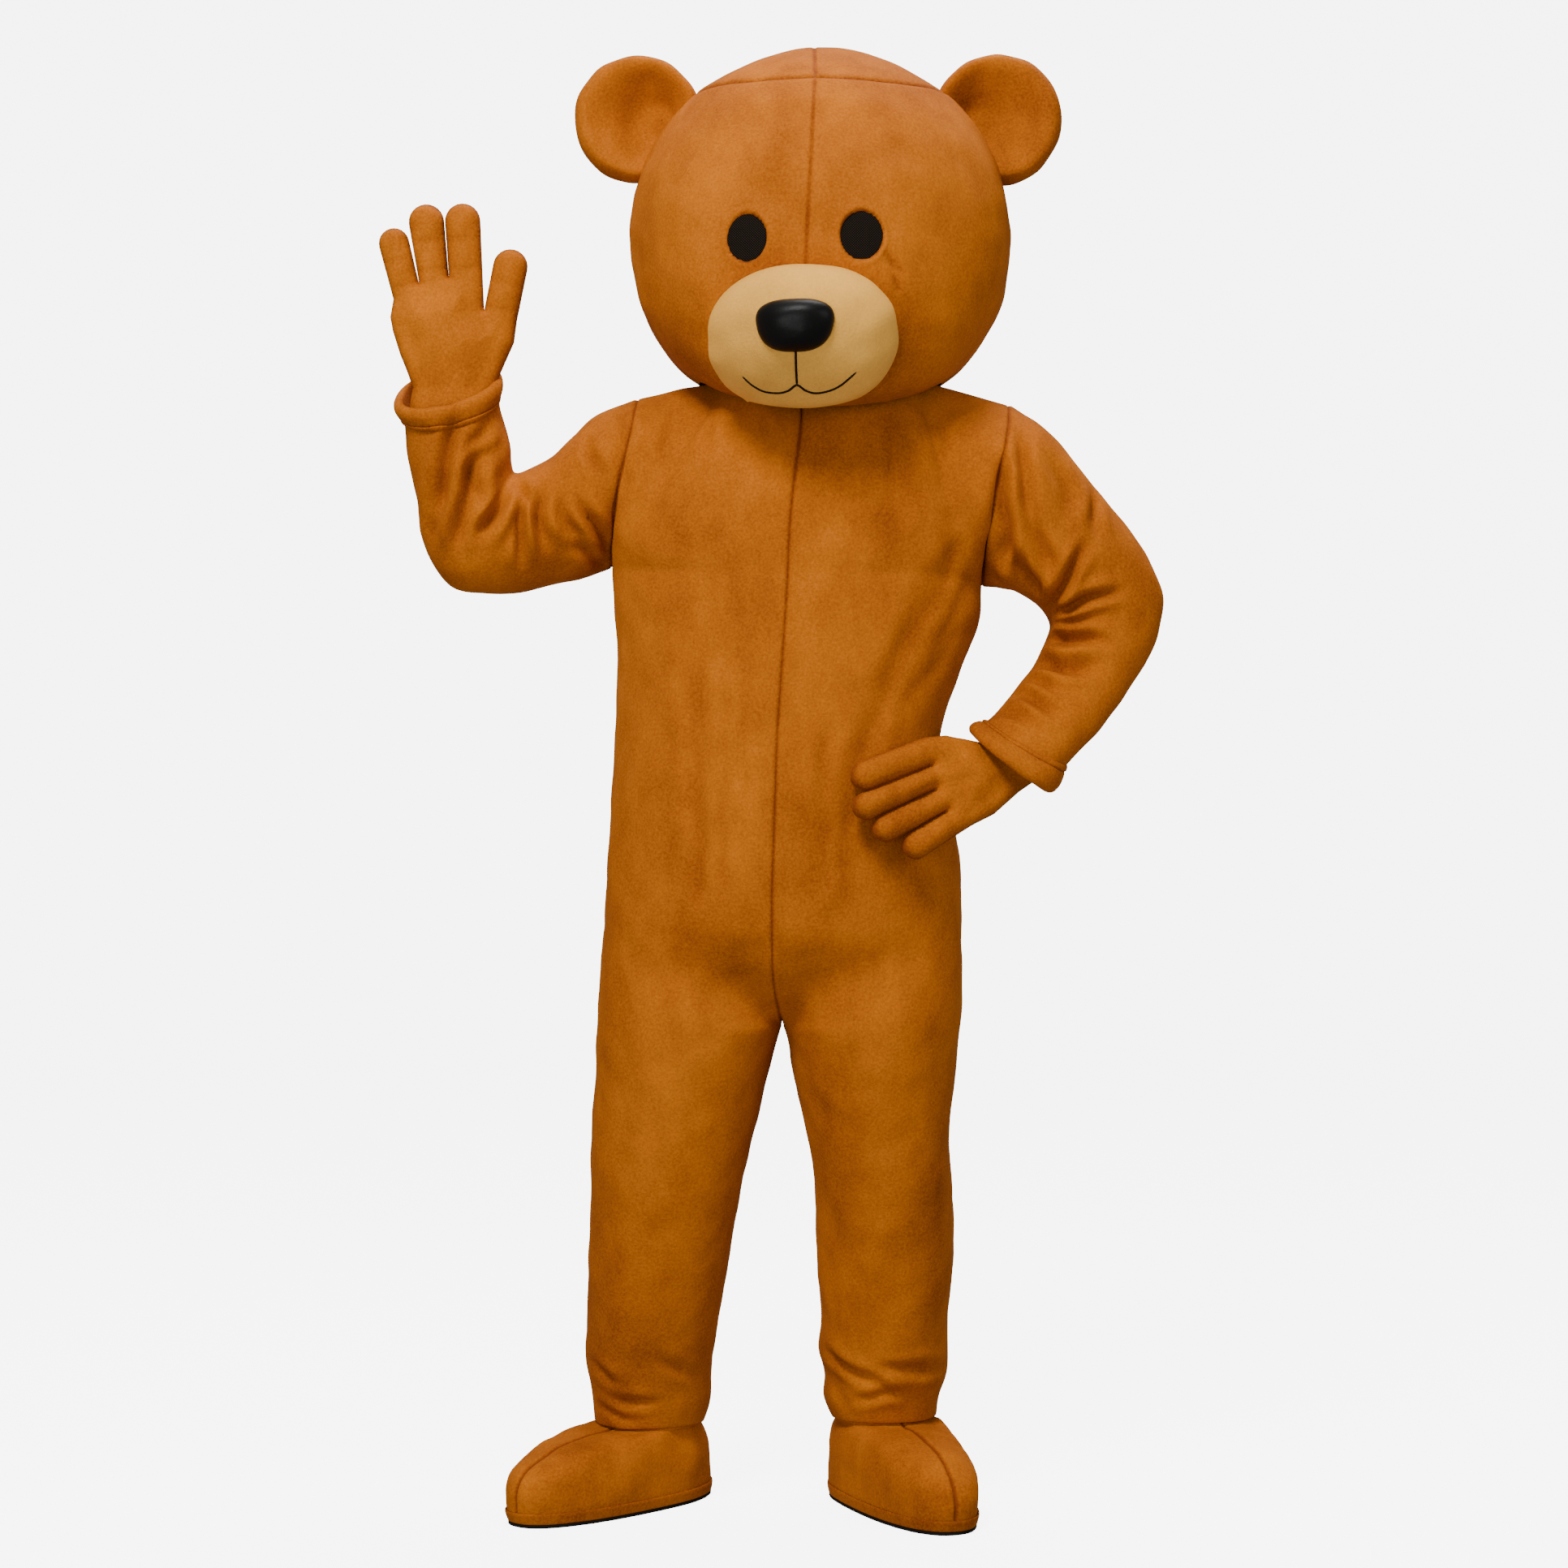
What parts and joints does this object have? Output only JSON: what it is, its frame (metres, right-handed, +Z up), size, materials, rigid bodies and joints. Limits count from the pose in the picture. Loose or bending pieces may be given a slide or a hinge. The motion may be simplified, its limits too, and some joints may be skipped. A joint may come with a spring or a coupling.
{
  "type": "bear mascot costume",
  "caption": "Worn bear mascot costume in golden brown plush: big round head with dished ears and a cream muzzle, jumpsuit, gloves and foot covers, one arm waving and one hand on the hip",
  "frame": {"origin": "on the upright line through the middle of the head and neck, at the height where the wearer's shoulders hold the suit and the head cover rests", "axes": "+Z up to the crown, the face and chest look along -Y, +X to the costume's own left hand, the one on the hip; the waving arm is on the -X side"},
  "size_m": [0.9575, 0.4867, 1.801],
  "materials": {
    "brown_plush": "short pile plush, soft sheen at grazing angles",
    "cream_plush": "short pile plush, matt",
    "black_leathercloth": "padded leathercloth, semi-gloss",
    "black_mesh": "fine open mesh, matt",
    "black_cord": "thin sewn cord, matt",
    "black_sole": "moulded rubber sheet, matt",
    "zip_tape": "woven zip tape with closed teeth",
    "zip_metal": "cast metal, satin"
  },
  "bodies": {
    "costume": {"body_back_left": "brown_plush", "body_back_right": "brown_plush", "body_front_left": "brown_plush", "body_front_right": "brown_plush", "cuff_left": "brown_plush", "cuff_right": "brown_plush", "ear_back_left": "brown_plush", "ear_back_right": "brown_plush", "ear_front_left": "brown_plush", "ear_front_right": "brown_plush", "eye_mesh_left": "black_mesh", "eye_mesh_right": "black_mesh", "face_left": "brown_plush", "face_right": "brown_plush", "glove_back_left": "brown_plush", "glove_back_right": "brown_plush", "glove_palm_left": "brown_plush", "glove_palm_right": "brown_plush", "head_back_left": "brown_plush", "head_back_right": "brown_plush", "mouth_curve": "black_cord", "mouth_upright": "black_cord", "muzzle": "cream_plush", "nose": "black_leathercloth", "shoe_band_left": "brown_plush", "shoe_band_right": "brown_plush", "shoe_left_inner": "brown_plush", "shoe_left_outer": "brown_plush", "shoe_right_inner": "brown_plush", "shoe_right_outer": "brown_plush", "shoe_sole_left": "black_sole", "shoe_sole_right": "black_sole", "sleeve_left": "brown_plush", "sleeve_right": "brown_plush", "zip_slider": "zip_metal", "zip_strip": "zip_tape"},
    "pull_tab": {"zip_pull": "zip_metal"}
  },
  "joints": [
    {"name": "pull_tab_hinge", "type": "hinge", "parent": "costume", "child": "pull_tab", "pos_m": [-0.043, 0.12881, -0.04424], "axis": [1, 0, 0], "range_deg": [0, 150]}
  ]
}
